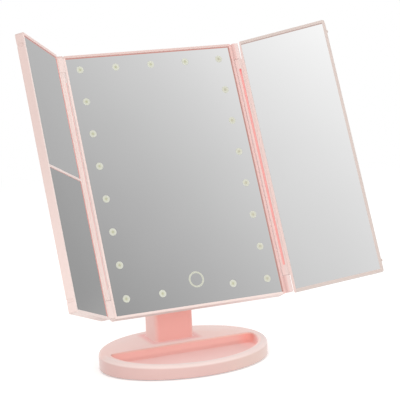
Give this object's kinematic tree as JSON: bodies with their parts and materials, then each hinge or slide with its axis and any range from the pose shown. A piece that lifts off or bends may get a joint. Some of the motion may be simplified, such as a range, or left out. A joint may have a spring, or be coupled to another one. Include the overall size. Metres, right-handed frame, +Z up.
{
  "type": "trifold vanity mirror",
  "caption": "Free-standing folding vanity mirror: a tilting lit centre mirror with two side wings on a stem over an oval base with a tray.",
  "frame": {"origin": "centre of the oval base on the surface that the object stands on", "axes": "+Z up, -Y towards the user, +X to the right as the user sees it"},
  "size_m": [0.2979, 0.1641, 0.2975],
  "materials": {
    "pink_gloss": "satin moulded, pale pink",
    "pink_light": "satin moulded, very pale pink",
    "pink_inner": "moulded, pale pink",
    "mirror": "silvered glass",
    "frosted": "frosted window",
    "rubber": "soft grey",
    "steel": "plated",
    "friction": "dark washer",
    "board_green": "solder mask",
    "board_white": "white solder mask",
    "chip": "light emitter with yellow phosphor",
    "cell": "sleeved cell",
    "foam": "adhesive foam"
  },
  "bodies": {
    "base": {"base_shell": "pink_gloss", "base_bottom_cover": "pink_inner", "rubber_feet": "rubber", "base_screws": "steel", "battery_cells": "cell", "battery_contacts": "steel", "charging_board": "board_green", "charging_socket": "steel", "stem_body": "pink_gloss", "stem_rear_cover": "pink_gloss", "stem_screws": "steel"},
    "battery_door": {"battery_door": "pink_inner"},
    "head": {"pivot_bracket": "pink_gloss", "bracket_screws": "steel", "pivot_pin": "steel", "pivot_nut": "steel", "friction_washers": "friction", "head_frame": "pink_light", "head_rear_cover": "pink_light", "head_screws": "steel", "centre_mirror": "mirror", "light_windows": "frosted", "touch_ring": "frosted", "led_board": "board_white", "led_chips": "chip", "touch_board": "board_green", "hinge_pins": "steel"},
    "left_wing": {"left_wing_frame": "pink_light", "left_wing_back": "pink_light", "left_upper_mirror": "mirror", "left_lower_mirror": "mirror", "left_mirror_pads": "foam"},
    "right_wing": {"right_wing_frame": "pink_light", "right_wing_back": "pink_light", "right_mirror": "mirror", "right_mirror_pad": "foam"}
  },
  "joints": [
    {"name": "head_tilt", "type": "hinge", "parent": "base", "child": "head", "pos_m": [0, 0.0282, 0.1532], "axis": [-1, 0, 0], "range_deg": [-22.85, 67.15]},
    {"name": "left_wing_fold", "type": "hinge", "parent": "head", "child": "left_wing", "pos_m": [-0.0838, 0.00019, 0.165], "axis": [0, 0.3883, 0.9215], "range_deg": [-52.6, 127.4]},
    {"name": "right_wing_fold", "type": "hinge", "parent": "head", "child": "right_wing", "pos_m": [0.0838, 0.00019, 0.165], "axis": [0, -0.3883, -0.9215], "range_deg": [-33.3, 146.7]},
    {"name": "battery_door_slide", "type": "slide", "parent": "base", "child": "battery_door", "axis": [0, 1, 0], "range_m": [0, 0.026]}
  ]
}
